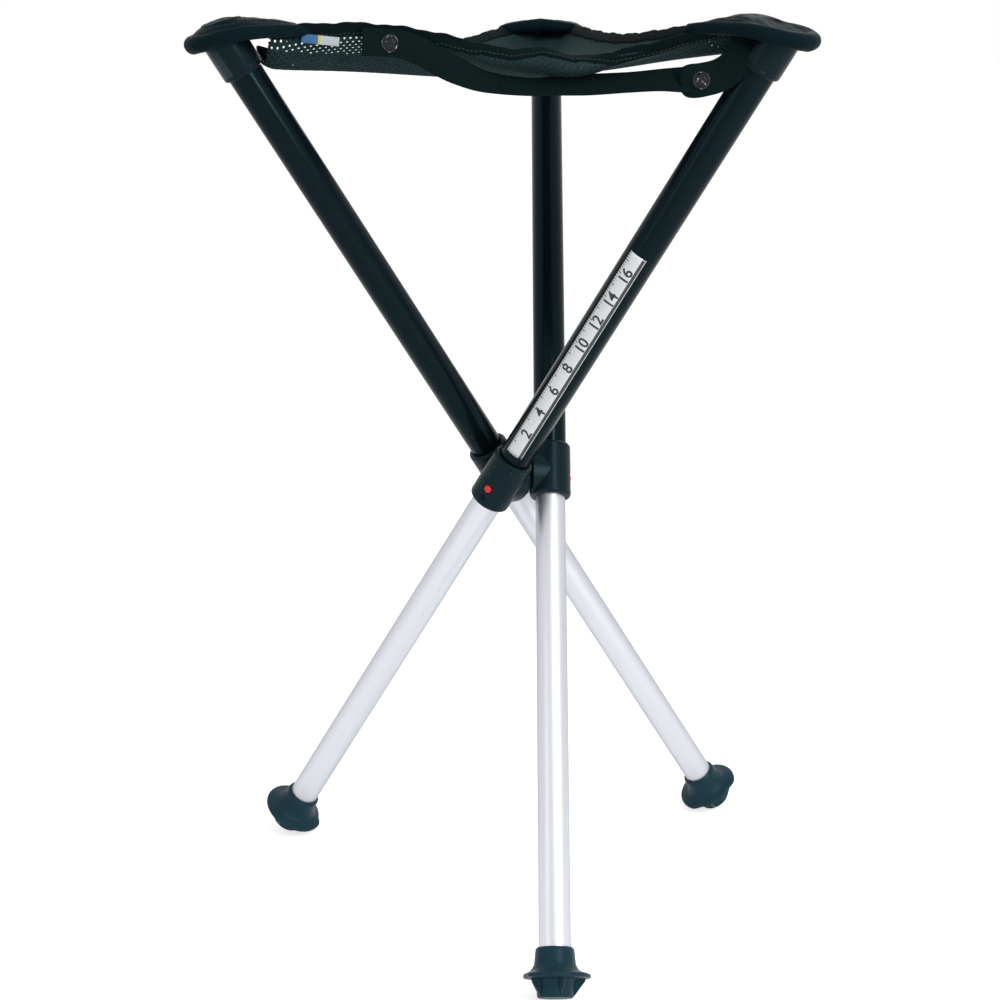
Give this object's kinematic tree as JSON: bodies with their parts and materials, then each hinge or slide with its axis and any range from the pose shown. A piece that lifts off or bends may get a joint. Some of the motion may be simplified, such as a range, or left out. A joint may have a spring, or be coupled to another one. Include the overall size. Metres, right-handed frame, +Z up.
{
  "type": "collapsible telescopic stool",
  "caption": "Folding camp stool: telescoping legs cross at a central hub, lock with red buttons and stretch a three-cornered mesh sling seat.",
  "frame": {"origin": "point on the floor under the middle of the hub, with the legs open and extended", "axes": "+Z up along the hub's middle; leg b's pivot lies towards +X, and its foot points towards -Y"},
  "size_m": [0.4111, 0.4522, 0.6479],
  "materials": {
    "moulded_black": "satin glass-filled nylon, tinted black",
    "black_tube": "satin black anodised",
    "silver_tube": "satin clear anodised",
    "bush_plastic": "plain acetal",
    "red_button": "moulded red",
    "spring_steel": "spring strip",
    "screw_steel": "zinc plated",
    "cap_black": "satin",
    "foot_rubber": "matt moulded, dark blue-green black",
    "pocket_leather": "smooth coated cloth",
    "mesh_fabric": "open knitted mesh",
    "binding_tape": "woven tape",
    "webbing": "ribbed webbing",
    "stud_metal": "black lacquered snap",
    "tag_cloth": "woven, blue and white",
    "label_film": "silver-white film"
  },
  "bodies": {
    "hub": {"hub_core": "moulded_black", "seat_mesh": "mesh_fabric", "edge_binding_near": "binding_tape", "edge_binding_right": "binding_tape", "edge_binding_left": "binding_tape", "carry_strap": "webbing", "strap_tab": "webbing", "press_stud_strap": "stud_metal", "press_stud_tab": "stud_metal", "seat_tag": "tag_cloth", "pivot_screw_a": "screw_steel", "pivot_screw_b": "screw_steel", "pivot_screw_c": "screw_steel"},
    "leg_a": {"upper_tube_a": "black_tube", "collar_a": "moulded_black", "guide_bush_a": "bush_plastic", "top_cap_a": "cap_black", "corner_pocket_a": "pocket_leather", "tube_label": "label_film"},
    "inner_a": {"lower_tube_a": "silver_tube", "slider_plug_a": "bush_plastic", "lock_spring_a": "spring_steel", "foot_a": "foot_rubber"},
    "button_a": {"lock_button_a": "red_button"},
    "leg_b": {"upper_tube_b": "black_tube", "collar_b": "moulded_black", "guide_bush_b": "bush_plastic", "top_cap_b": "cap_black", "corner_pocket_b": "pocket_leather"},
    "inner_b": {"lower_tube_b": "silver_tube", "slider_plug_b": "bush_plastic", "lock_spring_b": "spring_steel", "foot_b": "foot_rubber"},
    "button_b": {"lock_button_b": "red_button"},
    "leg_c": {"upper_tube_c": "black_tube", "collar_c": "moulded_black", "guide_bush_c": "bush_plastic", "top_cap_c": "cap_black", "corner_pocket_c": "pocket_leather"},
    "inner_c": {"lower_tube_c": "silver_tube", "slider_plug_c": "bush_plastic", "lock_spring_c": "spring_steel", "foot_c": "foot_rubber"},
    "button_c": {"lock_button_c": "red_button"}
  },
  "joints": [
    {"name": "fold_a", "type": "hinge", "parent": "hub", "child": "leg_a", "pos_m": [-0.01225, -0.02122, 0.32006], "axis": [-0.5, -0.866, 0], "range_deg": [0, 26.4], "deforming": ["seat_mesh", "edge_binding_near", "edge_binding_right", "edge_binding_left", "carry_strap", "strap_tab", "seat_tag"]},
    {"name": "extend_a", "type": "slide", "parent": "leg_a", "child": "inner_a", "axis": [0.4767, -0.2752, 0.8348], "range_m": [0, 0.3066], "deforming": ["lock_spring_a"]},
    {"name": "press_a", "type": "slide", "parent": "leg_a", "child": "button_a", "axis": [0.5, 0.866, 0], "range_m": [0, 0.0012], "stiffness_N_per_m": 600, "springref_m": -0.001},
    {"name": "fold_b", "type": "hinge", "parent": "hub", "child": "leg_b", "pos_m": [0.0245, 0, 0.32006], "axis": [1, 0, 0], "range_deg": [0, 26.4]},
    {"name": "extend_b", "type": "slide", "parent": "leg_b", "child": "inner_b", "axis": [0, 0.5505, 0.8348], "range_m": [0, 0.3066], "deforming": ["lock_spring_b"]},
    {"name": "press_b", "type": "slide", "parent": "leg_b", "child": "button_b", "axis": [-1, 0, 0], "range_m": [0, 0.0012], "stiffness_N_per_m": 600, "springref_m": -0.001},
    {"name": "fold_c", "type": "hinge", "parent": "hub", "child": "leg_c", "pos_m": [-0.01225, 0.02122, 0.32006], "axis": [-0.5, 0.866, 0], "range_deg": [0, 26.4]},
    {"name": "extend_c", "type": "slide", "parent": "leg_c", "child": "inner_c", "axis": [-0.4767, -0.2752, 0.8348], "range_m": [0, 0.3066], "deforming": ["lock_spring_c"]},
    {"name": "press_c", "type": "slide", "parent": "leg_c", "child": "button_c", "axis": [0.5, -0.866, 0], "range_m": [0, 0.0012], "stiffness_N_per_m": 600, "springref_m": -0.001}
  ],
  "couplings": [
    {"joint": "fold_b", "follows": "fold_a", "ratio": 1},
    {"joint": "fold_c", "follows": "fold_a", "ratio": 1}
  ]
}
